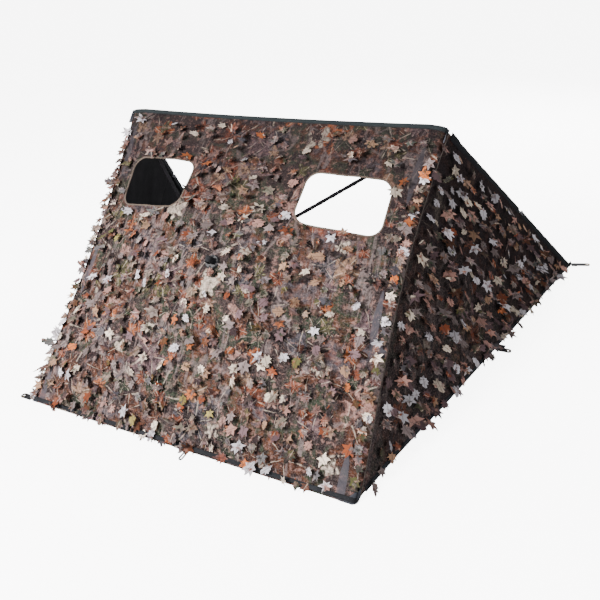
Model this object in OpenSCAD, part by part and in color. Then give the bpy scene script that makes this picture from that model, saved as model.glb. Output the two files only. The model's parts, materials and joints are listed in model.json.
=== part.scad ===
// Pop-up lean-to ground blind: a front panel held open by a four-arm hub frame,
// and two triangular wings that prop it up and fold flat behind it.
// Frame: +Z up, +Y towards the open back, origin on the ground under the middle of the whole blind.

/* [Shelter] */
// Width of the front panel and of the ridge
front_w = 1500; // [1300:10:1700]
// Height of the ridge above the ground
ridge_h = 985; // [900:5:1050]
// How far the ridge stands behind the front edge
ridge_back = 1005; // [950:5:1080]
// How far each wing's back corner stands outside the front panel's side
wing_splay = 460; // [380:10:520]
// How far the hub bulges out of the plane of the four corners
hub_bulge = 120; // [100:5:135]

/* [Windows] */
// Width of each window
window_w = 352; // [300:2:360]
// Height of each window, along the slope
window_h = 225; // [180:5:240]
// Distance of each window's middle from the panel's middle
window_x = 442; // [430:2:450]
// Distance of the windows' top edge below the ridge, along the slope
window_drop = 253; // [240:1:270]
// Corner radius of the windows' bound edge
window_r = 55; // [30:5:70]

/* [Frame] */
// Diameter of the fibreglass rods
rod_d = 9.5; // [8:0.5:11]
// Radius of the hub
hub_r = 62; // [58:1:66]
// Distance of the arm pins from the hub's axis
pin_ring_r = 45; // [43:1:47]
// Depth of the arm pins below the bulge's peak
pin_drop = 32; // [30:1:34]

/* [Cloth] */
// Thickness that stands for the cloth and the leaves sewn to it
cloth_t = 2; // [1.5:0.5:3]
// Width of the webbing that binds the edges
binding_w = 22; // [18:1:26]
// Width of the sleeve over each wing pole
sleeve_w = 30; // [28:1:34]
// Depth of the side seams behind the front panel
seam_depth = 30; // [28:1:34]

/* [Stake tabs] */
// Width of the webbing tabs
tab_w = 28; // [26:1:34]
// Thickness of the webbing tabs
tab_t = 3; // [2.5:0.5:4]
// Hole of the grommets that take the stakes
grommet_r = 5; // [4:0.5:6]

/* [Hidden] */
$fn = 48;
fit = 0.05;          // radial clearance of a running or push fit
gap = 0.3;           // space between soft pieces that lie side by side

// Front panel, in its own plane: x across, y up the slope, z outwards
slope_l = sqrt(pow(ridge_h, 2) + pow(ridge_back, 2));
lean = atan2(ridge_h, ridge_back);
edge = 12;           // width of cloth that the bindings cover
half_w = front_w / 2 - edge;

// Arms: their tips sit in pockets at the four corners
tip_inset = 25;
tip_inset_low = 45;
tip_depth = 12;
tip_r = 7;
hub_y = (tip_inset_low + slope_l - tip_inset) / 2;
pin_z = hub_bulge - pin_drop;
corner_x = front_w / 2 - tip_inset;
corner_y = slope_l - tip_inset - hub_y;
arm_azimuth = atan2(corner_y, corner_x);
arm_reach = norm([corner_x, corner_y]) - pin_ring_r;
arm_drop = atan2(pin_z + tip_depth, arm_reach);
arm_l = norm([arm_reach, pin_z + tip_depth]);
eye_w = 10;
eye_r = 7;
socket_r = 6.8;
socket_l = 46;
pin_r = 2.5;

// Hub: the cloth patch lies between the body and the cap
hub_low = pin_z - 12;
hub_top = pin_z + 16;
patch_t = 2;
cap_t = 10;
cap_r = 30;
screw_ring_r = 21;
hub_hole = 78;       // half width of the cloth's opening, which the patch closes

// Wings, in their own planes: x away from the seam, y up the seam, z outwards
wing_deep = (ridge_h - seam_depth * cos(lean)) / cos(lean);
wing_l = norm([wing_deep, wing_splay]);
wing_open = atan2(wing_deep, wing_splay);
ground_y = seam_depth / tan(lean);                   // where the seam meets the ground
ground_slope = sin(wing_open) / tan(lean);           // of the wing's lower edge
hem_y = binding_w * sqrt(1 + pow(ground_slope, 2));  // the hem's width, measured up the seam
crease = wing_l / 2;
hinge_z = 5;         // the crease's axis, outside the cloth
pole_z = -6;
pole_y = slope_l - sleeve_w / 2;
pole_start = 72;     // leaves room for the corner pocket when the wing is folded
pole_end = wing_l - 46;
seam_gap = 7;
knuckle_r = 7.5;
knuckle_l = 30;
ear_r = 5.5;
ear_t = 4;

// Tabs on the ground
tab_long = 95;
tab_short = 62;
grommet_rim = 4;
grommet_t = 4;
loop_x = 68;
loop_reach = 45;
back_y = ridge_back + pow(ridge_h, 2) / ridge_back;  // the wings' back corners
tab_turn = 17;       // the back tabs' angle from the X axis
back_reach = (tab_long - tab_w / 2) * sin(tab_turn) + tab_w / 2;
centre_y = (back_y + back_reach - loop_reach) / 2;

// ---- places ----

module ground_frame() { translate([0, -centre_y, 0]) children(); }

module on_front() { ground_frame() rotate([lean, 0, 0]) children(); }

module on_side(side) { mirror([side < 0 ? 1 : 0, 0, 0]) children(); }

module on_wing(side) {
    on_front() on_side(side)
        translate([front_w / 2, 0, -seam_depth]) rotate([0, wing_open, 0]) children();
}

// Cuts off what would reach below the ground
module above_ground() {
    intersection() {
        children();
        translate([-2 * front_w, -2 * front_w, 0]) cube([4 * front_w, 4 * front_w, 2 * ridge_h]);
    }
}

// x along the arm from its pin, y along the pin, z outwards
module on_arm(side, rise) {
    on_front() translate([0, hub_y, pin_z])
        rotate([0, 0, atan2(rise * corner_y, side * corner_x)])
        translate([pin_ring_r, 0, 0]) rotate([0, arm_drop, 0]) children();
}

module on_hub() { on_front() translate([0, hub_y, 0]) children(); }

// ---- small shapes ----

// A flat sheet over the outline pts, whose height at (x, y) is rise[0] x + rise[1] y + rise[2].
// It slopes along x or along y, never both.
module sloped_sheet(pts, rise) {
    reach = 2 * slope_l;
    intersection() {
        translate([0, 0, -reach]) linear_extrude(2 * reach) polygon(pts);
        translate([0, 0, rise[2]]) rotate([atan(rise[1]), -atan(rise[0]), 0])
            translate([-reach, -reach, 0]) cube([2 * reach, 2 * reach, cloth_t]);
    }
}

module round_rect(w, h, r) {
    union() {
        square([w - 2 * r, h], center = true);
        square([w, h - 2 * r], center = true);
        for (x = [-1, 1], y = [-1, 1]) translate([x * (w / 2 - r), y * (h / 2 - r)]) circle(r);
    }
}

module tube(r_out, r_in, l) {
    rotate([0, 90, 0]) difference() {
        cylinder(r = r_out, h = l);
        translate([0, 0, -1]) cylinder(r = r_in, h = l + 2);
    }
}

// ---- front panel ----

window_top = slope_l - window_drop;
window_low = window_top - window_h;
window_in = window_x - window_w / 2;
window_out = window_x + window_w / 2;
cloth_top = slope_l - edge;
cloth_low = edge;

// The fold between two faces of the bulge, above and below the hub
function fold_up(x) = hub_y + abs(x) * (cloth_top - hub_y) / half_w;
function fold_low(x) = hub_y - abs(x) * (hub_y - cloth_low) / half_w;
function fold_x(y) = (y - hub_y) * half_w / (cloth_top - hub_y);

top_face = [0, -hub_bulge / (cloth_top - hub_y), hub_bulge * cloth_top / (cloth_top - hub_y)];
low_face = [0, hub_bulge / (hub_y - cloth_low), -hub_bulge * cloth_low / (hub_y - cloth_low)];
side_face = [-hub_bulge / half_w, 0, hub_bulge];
hub_hole_up = fold_up(hub_hole);
hub_hole_low = fold_low(hub_hole);

module front_panel_cloth() {
    color("saddlebrown") on_front() {
        sloped_sheet([[-fold_x(window_top + gap), window_top + gap], [fold_x(window_top + gap), window_top + gap],
            [half_w, cloth_top], [-half_w, cloth_top]], top_face);
        sloped_sheet([[-hub_hole, hub_hole_up], [hub_hole, hub_hole_up],
            [window_in, fold_up(window_in)], [window_in, window_top],
            [-window_in, window_top], [-window_in, fold_up(window_in)]], top_face);
        sloped_sheet([[-half_w, cloth_low], [half_w, cloth_low],
            [hub_hole, hub_hole_low], [-hub_hole, hub_hole_low]], low_face);
        for (side = [-1, 1]) on_side(side) side_cloth();
    }
}

// One side face of the bulge, in pieces around its window
module side_cloth() {
    translate([gap, 0, 0]) {
        sloped_sheet([[hub_hole, hub_hole_low], [window_out, fold_low(window_out)],
            [window_out, window_low], [window_in, window_low], [window_in, fold_up(window_in)],
            [hub_hole, hub_hole_up]], side_face);
        sloped_sheet([[window_out + gap, fold_low(window_out + gap)], [half_w - gap, fold_low(half_w - gap)],
            [half_w - gap, fold_up(half_w - gap)], [window_out + gap, fold_up(window_out + gap)]], side_face);
        sloped_sheet([[fold_x(window_top + gap), window_top + gap], [window_out, window_top + gap],
            [window_out, fold_up(window_out)]], side_face);
    }
}

module ridge_binding() {
    color("darkslategray") on_front()
        translate([-front_w / 2, cloth_top + gap, 0]) cube([front_w, binding_w, 6]);
}

module front_hem() {
    color("darkslategray") above_ground() on_front()
        translate([-front_w / 2, 0, 0]) cube([front_w, edge - gap, 5]);
}

// The band that joins the front panel's side to the wing, with the seam's cord along its back
module seam_band(side) {
    band_t = 3;
    cord_r = 3;
    color("saddlebrown") above_ground() on_front() on_side(side) {
        translate([front_w / 2 - band_t, edge, -seam_depth + cord_r])
            cube([band_t, slope_l - edge, seam_depth - cord_r]);
        translate([front_w / 2, ground_y + edge, -seam_depth]) rotate([-90, 0, 0])
            cylinder(r = cord_r, h = slope_l - ground_y - edge);
    }
}

// The bound edge of a window lies on the two faces that the window cuts
module window_binding(side) {
    over = 14;       // how far the faces run past the window
    color("dimgray") on_front() on_side(side) {
        intersection() {
            window_frame();
            sloped_sheet([[window_in - over, fold_up(window_in - over)],
                [fold_x(window_top + over), window_top + over], [window_in - over, window_top + over]], top_face);
        }
        intersection() {
            window_frame();
            sloped_sheet([[window_in - over, window_low - over], [window_out + over, window_low - over],
                [window_out + over, window_top + over], [fold_x(window_top + over), window_top + over],
                [window_in - over, fold_up(window_in - over)]], side_face);
        }
    }
}

module window_frame() {
    bound = 8;
    translate([window_x, (window_top + window_low) / 2, 0]) linear_extrude(2 * hub_bulge) difference() {
        round_rect(window_w - 2 * gap, window_h - 2 * gap, window_r);
        round_rect(window_w - 2 * bound, window_h - 2 * bound, window_r - bound);
    }
}

pocket_l = 62;
pocket_wall = 2;
pocket_d = 2 * tip_depth;

// A triangular pouch for one arm tip, open towards the hub; its outer corner is at the origin
module corner_pocket() {
    translate([0, 0, -pocket_d - pocket_wall - gap]) difference() {
        linear_extrude(pocket_d + pocket_wall) polygon([[0, 0], [-pocket_l, 0], [0, -pocket_l]]);
        translate([-pocket_wall, -pocket_wall, pocket_wall]) linear_extrude(pocket_d - pocket_wall)
            polygon([[0, 0], [-2 * pocket_l, 0], [0, -2 * pocket_l]]);
    }
}

pocket_edge = 5;     // from the panel's edge to the pouch

module top_corner_pockets() {
    color("darkslategray") on_front() for (side = [-1, 1]) on_side(side)
        translate([front_w / 2 - pocket_edge, slope_l - pocket_edge, 0]) corner_pocket();
}

module bottom_corner_pockets() {
    low = tip_inset_low - tip_inset + pocket_edge;
    color("darkslategray") above_ground() on_front() for (side = [-1, 1]) on_side(side)
        translate([front_w / 2 - pocket_edge, low, 0]) mirror([0, 1, 0]) corner_pocket();
}

// ---- hub frame ----

module hub_body() {
    slot_w = eye_w + 2 * gap;
    slot_in = pin_ring_r - eye_r - 2;
    slot_h = hub_top - hub_low - 5;
    color([0.08, 0.08, 0.08]) on_hub() difference() {
        translate([0, 0, hub_low]) cylinder(r = hub_r, h = hub_top - hub_low);
        translate([0, 0, hub_low - 1]) cylinder(r = 14, h = 9);
        for (side = [-1, 1], rise = [-1, 1]) rotate([0, 0, atan2(rise * corner_y, side * corner_x)]) {
            translate([slot_in, -slot_w / 2, hub_low - 1]) cube([hub_r, slot_w, slot_h]);
            translate([pin_ring_r + eye_r + gap, -socket_r - gap, hub_low - 1])
                cube([hub_r, 2 * (socket_r + gap), slot_h]);
            translate([pin_ring_r, -pin_reach, pin_z]) rotate([-90, 0, 0])
                cylinder(r = pin_r + fit / 2, h = hub_r);
        }
        for (turn = screw_turns) rotate([0, 0, turn]) translate([screw_ring_r, 0, hub_top - 16])
            cylinder(r = screw_r + fit / 2, h = 20);
    }
}

pin_reach = 20;
screw_r = 2.5;
screw_turns = [0:90:270];
strap_w = 25;
strap_t = 2.5;
strap_x = 11;
strap_rise = 42;

module hub_cap() {
    z0 = hub_top + patch_t;
    color([0.08, 0.08, 0.08]) on_hub() difference() {
        translate([0, 0, z0]) rotate_extrude() polygon([[0, 0], [cap_r, 0], [cap_r, cap_t / 2],
            [cap_r - 2, cap_t - 2], [cap_r - 4, cap_t], [0, cap_t]]);
        for (turn = screw_turns) rotate([0, 0, turn]) translate([screw_ring_r, 0, z0 - 1]) {
            cylinder(r = screw_r + fit, h = cap_t + 2);
            translate([0, 0, cap_t - 3]) cylinder(r = 5.2, h = cap_t);
        }
        for (x = [-1, 1]) translate([x * strap_x, 0, z0 + cap_t / 2])
            cube([strap_t + 1, strap_w + 2, cap_t + 2], center = true);
    }
}

module hub_pins() {
    color("silver") on_hub() for (side = [-1, 1], rise = [-1, 1])
        rotate([0, 0, atan2(rise * corner_y, side * corner_x)])
            translate([pin_ring_r, -pin_reach, pin_z]) rotate([-90, 0, 0]) cylinder(r = pin_r, h = 2 * pin_reach);
}

module hub_screws() {
    head_z = hub_top + patch_t + cap_t - 3;
    color("silver") on_hub() for (turn = screw_turns) rotate([0, 0, turn]) translate([screw_ring_r, 0, 0]) {
        translate([0, 0, hub_top - 14]) cylinder(r = screw_r, h = head_z - hub_top + 14);
        translate([0, 0, head_z]) difference() {
            cylinder(r = 5, h = 2.6);
            translate([0, 0, 1]) for (cross = [0, 90]) rotate([0, 0, cross])
                translate([-3, -0.6, 0]) cube([6, 1.2, 3]);
        }
    }
}

module hub_patch() {
    slack = 5;       // between the patch and the edge of the cloth's opening
    patch_x = hub_hole - slack;
    patch_y = hub_hole_up - hub_y - slack;
    color([0.12, 0.12, 0.12]) on_hub() translate([0, 0, hub_top]) difference() {
        translate([-patch_x, -patch_y, 0]) cube([2 * patch_x, 2 * patch_y, patch_t]);
        for (turn = screw_turns) rotate([0, 0, turn]) translate([screw_ring_r, 0, -1])
            cylinder(r = screw_r + fit, h = patch_t + 2);
    }
}

// A webbing loop to pull the hub out, anchored in the cap's two slots
module pull_strap() {
    color([0.05, 0.05, 0.05]) on_hub() translate([0, strap_w / 2, hub_top + patch_t + 1]) rotate([90, 0, 0])
        linear_extrude(strap_w) difference() {
            strap_outline(strap_x + strap_t / 2, 0);
            strap_outline(strap_x - strap_t / 2, -1);
        }
}

// Straight sides from the given foot, and a half-round top
module strap_outline(half, foot) {
    shoulder = strap_rise - strap_x;
    union() {
        translate([-half, foot]) square([2 * half, shoulder - foot]);
        translate([0, shoulder]) intersection() {
            circle(half);
            translate([-half, 0]) square([2 * half, half]);
        }
    }
}

module arm_eye(side, rise) {
    color("gray") on_arm(side, rise) difference() {
        union() {
            translate([0, eye_w / 2, 0]) rotate([90, 0, 0]) cylinder(r = eye_r, h = eye_w);
            translate([0, -eye_w / 2, -5]) cube([12, eye_w, 10]);
            translate([9, 0, 0]) rotate([0, 90, 0]) cylinder(r = socket_r, h = socket_l - 9);
        }
        translate([0, eye_w, 0]) rotate([90, 0, 0]) cylinder(r = pin_r + fit, h = 2 * eye_w);
        translate([14, 0, 0]) rotate([0, 90, 0]) cylinder(r = rod_d / 2 + fit, h = socket_l);
    }
}

tip_l = 24;

module arm_rod(side, rise) {
    color([0.1, 0.1, 0.1]) on_arm(side, rise)
        translate([15, 0, 0]) rotate([0, 90, 0]) cylinder(r = rod_d / 2, h = arm_l - 15 - 3);
}

// A rounded cap on the rod's outer end
module arm_tip(side, rise) {
    color([0.1, 0.1, 0.1]) on_arm(side, rise) translate([arm_l, 0, 0]) difference() {
        union() {
            sphere(r = tip_r);
            rotate([0, -90, 0]) cylinder(r = tip_r, h = tip_l);
        }
        translate([-3 + fit, 0, 0]) rotate([0, -90, 0]) cylinder(r = rod_d / 2 + fit, h = tip_l);
    }
}

// ---- wings ----

function ground_line(x) = ground_y + ground_slope * x;

module wing_panel(x0, x1) {
    linear_extrude(cloth_t) polygon([
        [x0, ground_line(x0) + hem_y + gap], [x1, ground_line(x1) + hem_y + gap],
        [x1, max(ground_line(x1) + hem_y + 2 * gap, slope_l - sleeve_w - gap)],
        [x0, slope_l - sleeve_w - gap]]);
}

module wing_hem_strip(x0, x1) {
    above = 4;       // the hem stands this far off the cloth's plane in all
    translate([0, 0, -1]) linear_extrude(above) polygon([
        [x0, ground_line(x0)], [x1, ground_line(x1)],
        [x1, ground_line(x1) + hem_y], [x0, ground_line(x0) + hem_y]]);
}

// A band along the wing's back edge, with a tube for the pole from x2 to x3 and a notch for the knuckle
module pole_sleeve(x0, x1, x2, x3) {
    wall = 2.5;
    notch_l = 2 * sleeve_stop;
    notch_w = 18;
    difference() {
        union() {
            translate([x0, slope_l - sleeve_w, 0]) cube([x1 - x0, sleeve_w, cloth_t]);
            translate([x2, pole_y, pole_z]) rotate([0, 90, 0]) cylinder(r = rod_d / 2 + 2 * wall, h = x3 - x2);
            translate([x2, slope_l - sleeve_w + 6, pole_z]) cube([x3 - x2, sleeve_w - 12, -pole_z + cloth_t]);
        }
        translate([x2 - 1, pole_y, pole_z]) rotate([0, 90, 0])
            cylinder(r = rod_d / 2 + wall, h = x3 - x2 + 2);
        translate([crease - notch_l / 2, pole_y - notch_w / 2, -1]) cube([notch_l, notch_w, cloth_t + 2]);
    }
}

tip_end = wing_l - 40;                       // the cloth of the tip ends at a small square corner
tip_cloth_end = (slope_l - sleeve_w - ground_y - hem_y - 3 * gap) / ground_slope;

module wing_cloth(side) {
    color("saddlebrown") on_wing(side) wing_panel(seam_gap, crease - gap);
}

module tip_cloth(side) {
    color("saddlebrown") on_wing(side) wing_panel(crease + gap, tip_cloth_end);
}

module wing_hem(side) {
    color("darkslategray") above_ground() on_wing(side) wing_hem_strip(seam_gap, crease - gap);
}

// The tip's hem stops where it meets the sleeve
module tip_hem(side) {
    color("darkslategray") above_ground() on_wing(side) difference() {
        wing_hem_strip(crease + gap, wing_l);
        translate([crease, slope_l - sleeve_w - gap, -60]) cube([wing_l, 2 * sleeve_w, 120]);
    }
}

sleeve_stop = knuckle_l + 4;                 // the tube stops short of the knuckle

module wing_sleeve(side) {
    color("black") above_ground() on_wing(side)
        pole_sleeve(seam_gap, crease - gap, pole_start, crease - sleeve_stop);
}

module tip_sleeve(side) {
    color("black") above_ground() on_wing(side) intersection() {
        pole_sleeve(crease + gap, wing_l - 1, crease + sleeve_stop, pole_end - 6);
        linear_extrude(4 * sleeve_w, center = true) polygon([[crease, 0], [wing_l, ground_line(wing_l)],
            [wing_l, slope_l], [crease, slope_l]]);
    }
}

module wing_pole(side) {
    color([0.1, 0.1, 0.1]) on_wing(side) translate([pole_start + 2, pole_y, pole_z])
        rotate([0, 90, 0]) cylinder(r = rod_d / 2, h = crease - pole_start - 12);
}

module tip_pole(side) {
    color([0.1, 0.1, 0.1]) on_wing(side) translate([crease + 10, pole_y, pole_z])
        rotate([0, 90, 0]) cylinder(r = rod_d / 2, h = pole_end - crease - 14);
}

// One half of the folding joint: a socket for the pole, with ears at the given offsets along the pin
module knuckle_half(ears) {
    difference() {
        union() {
            translate([-knuckle_l, 0, pole_z]) rotate([0, 90, 0]) cylinder(r = knuckle_r, h = knuckle_l - 6.5);
            for (y = ears) translate([0, y + ear_t / 2, 0]) rotate([90, 0, 0]) linear_extrude(ear_t) ear_outline();
        }
        translate([-knuckle_l - 1, 0, pole_z]) rotate([0, 90, 0])
            cylinder(r = rod_d / 2 + fit, h = knuckle_l - 8);
        translate([0, 20, hinge_z]) rotate([90, 0, 0]) cylinder(r = pin_r - 0.5 + fit, h = 40);
    }
}

module ear_outline() {
    union() {
        translate([0, hinge_z]) circle(ear_r);
        polygon([[-12, pole_z], [-7, pole_z - 4], [-1, hinge_z - ear_r + 0.2], [2, hinge_z],
            [-1, hinge_z + ear_r - 0.2], [-12, 0]]);
    }
}

module knuckle(side) {
    color("gray") on_wing(side) translate([crease, pole_y, 0]) knuckle_half([0]);
}

module tip_knuckle(side) {
    color("gray") on_wing(side) translate([crease, pole_y, 0]) mirror([1, 0, 0])
        knuckle_half([-(ear_t + gap), ear_t + gap]);
}

module knuckle_pin(side) {
    pin_l = 14;
    color("silver") on_wing(side) translate([crease, pole_y, hinge_z]) rotate([90, 0, 0]) {
        cylinder(r = pin_r - 0.5, h = pin_l, center = true);
        for (end = [-1, 1]) translate([0, 0, end * (pin_l / 2 + 0.6)]) cylinder(r = 3.4, h = 1.2, center = true);
    }
}

// The plastic cap on the lower end of the pole
module pole_foot(side) {
    foot_l = 16;
    foot_r = -pole_z - 2 * fit;              // clear of the sleeve's band
    color([0.1, 0.1, 0.1]) on_wing(side) translate([pole_end, pole_y, pole_z]) difference() {
        union() {
            sphere(r = foot_r);
            rotate([0, -90, 0]) cylinder(r = foot_r, h = foot_l);
        }
        translate([-4, 0, 0]) rotate([0, -90, 0]) cylinder(r = rod_d / 2 + fit, h = foot_l);
    }
}

// ---- stake tabs on the ground ----

// A webbing tab along +X from the origin, with a round end and the grommet's hole
module stake_tab(l) {
    linear_extrude(tab_t) difference() {
        union() {
            translate([0, -tab_w / 2]) square([l - tab_w / 2, tab_w]);
            translate([l - tab_w / 2, 0]) circle(tab_w / 2);
        }
        translate([l - tab_w / 2, 0]) circle(grommet_r + grommet_rim + fit);
    }
}

module grommet(l) {
    translate([l - tab_w / 2, 0, 0]) rotate_extrude() polygon([
        [grommet_r, 0], [grommet_r + grommet_rim, 0], [grommet_r + grommet_rim, grommet_t - 1],
        [grommet_r + grommet_rim - 1, grommet_t], [grommet_r, grommet_t]]);
}

front_tab_y = 17.6;                          // clear of the hem and of the corner pocket
mid_tab_share = 0.536;                       // along the wing's lower edge, from the front
tab_clear = 2.5;                             // between the wings' hems and their tabs

// The front left tab points outwards; the right one is tucked under the panel
module at_front_tabs() {
    ground_frame() translate([-front_w / 2 - 2, front_tab_y, 0]) mirror([1, 0, 0]) children();
    ground_frame() translate([front_w / 2 - 14, front_tab_y, 0]) mirror([1, 0, 0]) children();
}

module at_back_tab(side) {
    ground_frame() on_side(side) translate([front_w / 2 + wing_splay + tab_clear, back_y, 0])
        rotate([0, 0, tab_turn]) children();
}

module at_mid_tab(side) {
    ground_frame() on_side(side)
        translate([front_w / 2 + mid_tab_share * wing_splay + tab_clear, mid_tab_share * back_y, 0]) children();
}

module front_stake_tabs() {
    color("black") at_front_tabs() stake_tab(tab_short);
}

module front_grommets() {
    color("dimgray") at_front_tabs() grommet(tab_short);
}

module wing_tabs(side) {
    color("black") {
        at_back_tab(side) stake_tab(tab_long);
        at_mid_tab(side) stake_tab(tab_short);
    }
}

module wing_grommets(side) {
    color("dimgray") {
        at_back_tab(side) grommet(tab_long);
        at_mid_tab(side) grommet(tab_short);
    }
}

// A small cord loop at the middle of the front hem
module front_loop() {
    loop_w = 16;
    cord = 4;
    color("black") ground_frame() translate([loop_x, -loop_reach + loop_w / 2, 0]) linear_extrude(cord) difference() {
        union() {
            circle(loop_w / 2);
            translate([-loop_w / 2, 0]) square([loop_w, loop_reach - loop_w / 2 - cord]);
        }
        circle(loop_w / 2 - cord);
        translate([-loop_w / 2 + cord, 0]) square([loop_w - 2 * cord, loop_reach - loop_w - cord]);
    }
}

// ---- nodes ----

sides = [["left", -1], ["right", 1]];
rises = [["top", 1], ["bottom", -1]];

front_panel_cloth();
ridge_binding();
front_hem();
top_corner_pockets();
bottom_corner_pockets();
front_stake_tabs();
front_grommets();
front_loop();
hub_body();
hub_cap();
hub_pins();
hub_screws();
hub_patch();
pull_strap();
for (s = sides, r = rises) {
    arm_rod(s[1], r[1]);
    arm_eye(s[1], r[1]);
    arm_tip(s[1], r[1]);
}
for (s = sides) {
    seam_band(s[1]);
    window_binding(s[1]);
    wing_cloth(s[1]);
    wing_hem(s[1]);
    wing_sleeve(s[1]);
    wing_pole(s[1]);
    knuckle(s[1]);
    knuckle_pin(s[1]);
    tip_cloth(s[1]);
    tip_hem(s[1]);
    tip_sleeve(s[1]);
    tip_pole(s[1]);
    tip_knuckle(s[1]);
    pole_foot(s[1]);
    wing_tabs(s[1]);
    wing_grommets(s[1]);
}
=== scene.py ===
"""A pop-up lean-to ground blind: leaf-print cloth with cut leaves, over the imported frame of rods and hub."""
import json
import math

import bmesh
import bpy
import numpy as np
from mathutils import Matrix, Vector


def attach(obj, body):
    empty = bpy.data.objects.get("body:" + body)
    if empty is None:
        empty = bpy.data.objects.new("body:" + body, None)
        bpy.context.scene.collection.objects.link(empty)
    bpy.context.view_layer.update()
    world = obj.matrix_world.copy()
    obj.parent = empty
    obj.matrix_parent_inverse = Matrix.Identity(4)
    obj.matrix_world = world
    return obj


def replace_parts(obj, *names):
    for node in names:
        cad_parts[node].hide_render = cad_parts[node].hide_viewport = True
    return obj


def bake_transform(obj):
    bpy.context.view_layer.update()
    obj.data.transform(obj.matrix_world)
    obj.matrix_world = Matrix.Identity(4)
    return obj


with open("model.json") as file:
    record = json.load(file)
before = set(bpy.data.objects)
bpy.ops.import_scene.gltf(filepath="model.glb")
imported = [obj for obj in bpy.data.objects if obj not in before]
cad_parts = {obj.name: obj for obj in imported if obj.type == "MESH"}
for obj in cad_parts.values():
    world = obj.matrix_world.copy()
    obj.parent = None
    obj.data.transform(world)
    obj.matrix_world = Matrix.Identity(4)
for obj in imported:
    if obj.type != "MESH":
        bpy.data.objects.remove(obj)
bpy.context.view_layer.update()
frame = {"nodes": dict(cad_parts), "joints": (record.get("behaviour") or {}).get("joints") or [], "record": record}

SEAM_AT = next(j["pos_m"] for j in frame["joints"] if j["name"] == "wing_right_fold")

# ---- driving dimensions, in metres ----
FRONT_W = 1.5           # width of the front panel
RIDGE_H = 0.985         # height of the ridge
RIDGE_BACK = 1.005      # how far the ridge stands behind the front edge
SPLAY = 0.46            # how far each wing's back corner stands outside the front's side
BULGE = 0.12            # how far the hub would push the cloth's peak out
HUB_FLAT = 0.1058       # height of the cloth where the hub clamps it
SEAM_DEPTH = 0.03       # depth of the side seams behind the front panel
WINDOW = (0.442, 1.0417, 0.352, 0.225, 0.055)   # middle across and up, width, height, corner radius
SIDE_PULL = 0.036       # how far the cloth's tension draws the side edges in
RIDGE_SAG = 0.010
CLOTH_T = 0.002
LEAF_L = 0.060          # length of a cut leaf
LEAF_GROUND = 0.0012    # the lowest that a leaf may reach
BAND_X = 0.688          # where the print's bare slate band runs, from the middle
SEAM_TURN = 0.075       # width of the cloth that turns down to the side seam

HALF_W = FRONT_W / 2
SLOPE_L = math.hypot(RIDGE_H, RIDGE_BACK)
LEAN = math.atan2(RIDGE_H, RIDGE_BACK)
HUB_Y = (0.045 + SLOPE_L - 0.025) / 2
WING_DEEP = (RIDGE_H - SEAM_DEPTH * math.cos(LEAN)) / math.cos(LEAN)
WING_L = math.hypot(WING_DEEP, SPLAY)
WING_OPEN = math.atan2(WING_DEEP, SPLAY)
CREASE = WING_L / 2
WING_SPLIT = CREASE - 0.06      # where the wing's visual cloth is parted in two pieces
GROUND_Y = SEAM_DEPTH / math.tan(LEAN)
GROUND_SLOPE = math.sin(WING_OPEN) / math.tan(LEAN)
POLE_Y = SLOPE_L - 0.015
CENTRE_Y = SLOPE_L / 2 * math.cos(LEAN) + SEAM_DEPTH * math.sin(LEAN) - SEAM_AT[1]

ACROSS = Vector((1, 0, 0))
UP_SLOPE = Vector((0, math.cos(LEAN), math.sin(LEAN)))
OUT = Vector((0, -math.sin(LEAN), math.cos(LEAN)))


SIDES = ((-1, "left"), (1, "right"))


# ---- places ----

def slant(x, y, z):
    """Points of the front panel's own frame, x across, y up the slope and z outwards, in the row frame."""
    x, y, z = np.broadcast_arrays(*(np.asarray(v, float) for v in (x, y, z)))
    return np.stack([x, y * math.cos(LEAN) - z * math.sin(LEAN) - CENTRE_Y,
                     y * math.sin(LEAN) + z * math.cos(LEAN)], -1)


def wing_place(side, x, y, z):
    """Points of a wing's own frame, x away from the seam, y up the seam and z outwards, in the row frame."""
    x, y, z = np.broadcast_arrays(*(np.asarray(v, float) for v in (x, y, z)))
    across = x * math.cos(WING_OPEN) + z * math.sin(WING_OPEN)
    deep = -x * math.sin(WING_OPEN) + z * math.cos(WING_OPEN)
    return slant(side * (HALF_W + across), y, deep - SEAM_DEPTH)


def unit(vectors):
    return vectors / np.linalg.norm(vectors, axis=1, keepdims=True)


def lengths_along(points):
    """The distance of each point of a line from its start."""
    return np.r_[0, np.cumsum(np.linalg.norm(np.diff(points, axis=0), axis=1))]


def raised(points, ground):
    """The points with none of them below the height ground."""
    points = np.array(points)
    points[..., 2] = np.maximum(points[..., 2], ground)
    return points


# ---- shapes of the cloth ----

def smooth(t):
    t = np.clip(t, 0, 1)
    return t * t * (3 - 2 * t)


def ripples(u, v, seed, size):
    """A smooth random height from -1 to 1 that varies over about size metres."""
    rng = np.random.default_rng(seed)
    total = 0
    for k in range(7):
        angle, phase = rng.uniform(0, math.tau, 2)
        pitch = size * rng.uniform(0.6, 1.7)
        total = total + np.sin((u * math.cos(angle) + v * math.sin(angle)) * math.tau / pitch + phase)
    return total / 3.5


def panel_share(x, y):
    """0 on the nearest edge of the front panel and 1 at the hub, softened across the arms."""
    rise = np.where(y > HUB_Y, (SLOPE_L - y) / (SLOPE_L - HUB_Y), y / HUB_Y)
    reach = 1 - np.abs(x) / HALF_W
    sharp = 26
    return -np.log(np.exp(-sharp * rise) + np.exp(-sharp * reach)) / sharp


def pull_in(y):
    """How far the side edge lies inside its straight line."""
    v = np.clip(y / SLOPE_L, 0, 1)
    return SIDE_PULL * np.sin(math.pi * v ** 1.25)


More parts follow.
